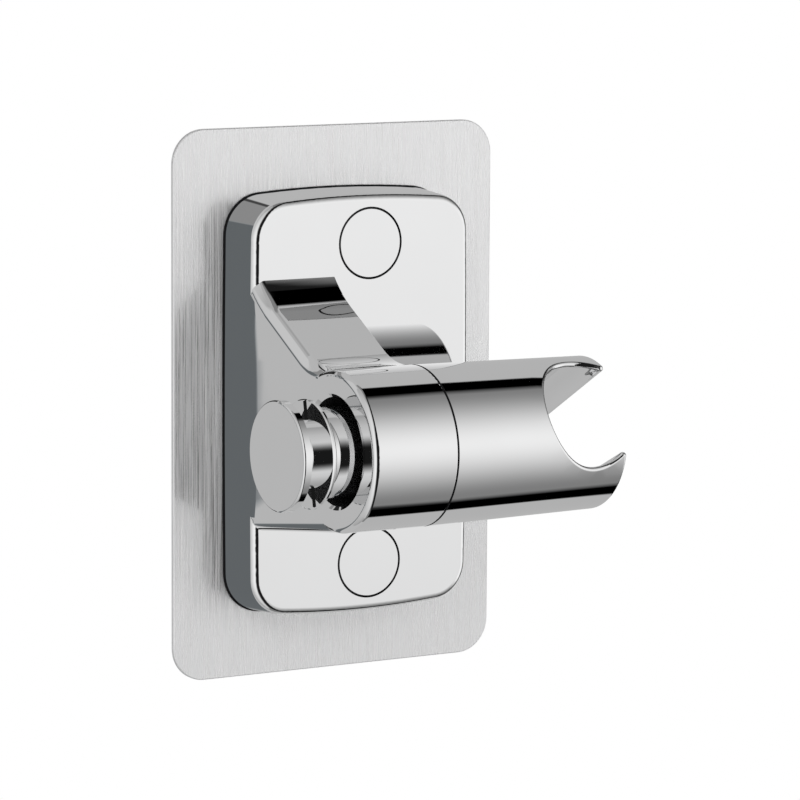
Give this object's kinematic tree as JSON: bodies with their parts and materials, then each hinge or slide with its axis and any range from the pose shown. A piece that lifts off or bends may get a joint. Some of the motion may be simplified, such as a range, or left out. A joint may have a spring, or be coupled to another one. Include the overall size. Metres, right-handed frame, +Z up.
{
  "type": "hand shower holder",
  "caption": "Adhesive wall holder for a hand shower: brushed plate, hollow chrome housing with an arm and cross sleeve, and a push-button cradle that turns and has a conical C notch.",
  "frame": {"origin": "middle of the adhesive's back face, where the holder meets the wall", "axes": "+Y into the wall, +Z up the wall, +X along the sleeve from the button to the cradle"},
  "size_m": [0.0805, 0.0647, 0.12],
  "materials": {
    "adhesive": "matte double-sided foam adhesive",
    "brushed_plate": "vertically brushed stainless steel",
    "fastener_steel": "plain bright steel",
    "black_rubber": "matte black rubber",
    "chrome_housing": "polished chrome plating on moulded plastic",
    "chrome_trim": "polished chrome plating on moulded plastic",
    "chrome_cradle": "polished chrome plating on moulded plastic",
    "bearing_plastic": "natural acetal",
    "spring_steel": "bright drawn wire"
  },
  "bodies": {
    "wall_base": {"adhesive_pad": "adhesive", "mounting_plate": "brushed_plate", "mounting_studs": "fastener_steel", "base_gasket": "black_rubber", "housing": "chrome_housing", "stud_washers": "fastener_steel", "stud_nuts": "fastener_steel", "upper_screw_cover": "chrome_trim", "lower_screw_cover": "chrome_trim", "friction_ring": "bearing_plastic", "return_spring": "spring_steel"},
    "push_button": {"button_spool": "chrome_trim", "button_cap": "chrome_trim", "screw_washer": "fastener_steel"},
    "cradle": {"cradle": "chrome_cradle", "axle_screw": "fastener_steel"}
  },
  "joints": [
    {"name": "button_press", "type": "slide", "parent": "wall_base", "child": "push_button", "axis": [1, 0, 0], "range_m": [0, 0.003], "stiffness_N_per_m": 2000, "springref_m": -0.004, "deforming": ["return_spring"]},
    {"name": "cradle_turn", "type": "hinge", "parent": "push_button", "child": "cradle", "pos_m": [0, -0.0476, -0.0044], "axis": [1, 0, 0], "continuous": true}
  ]
}
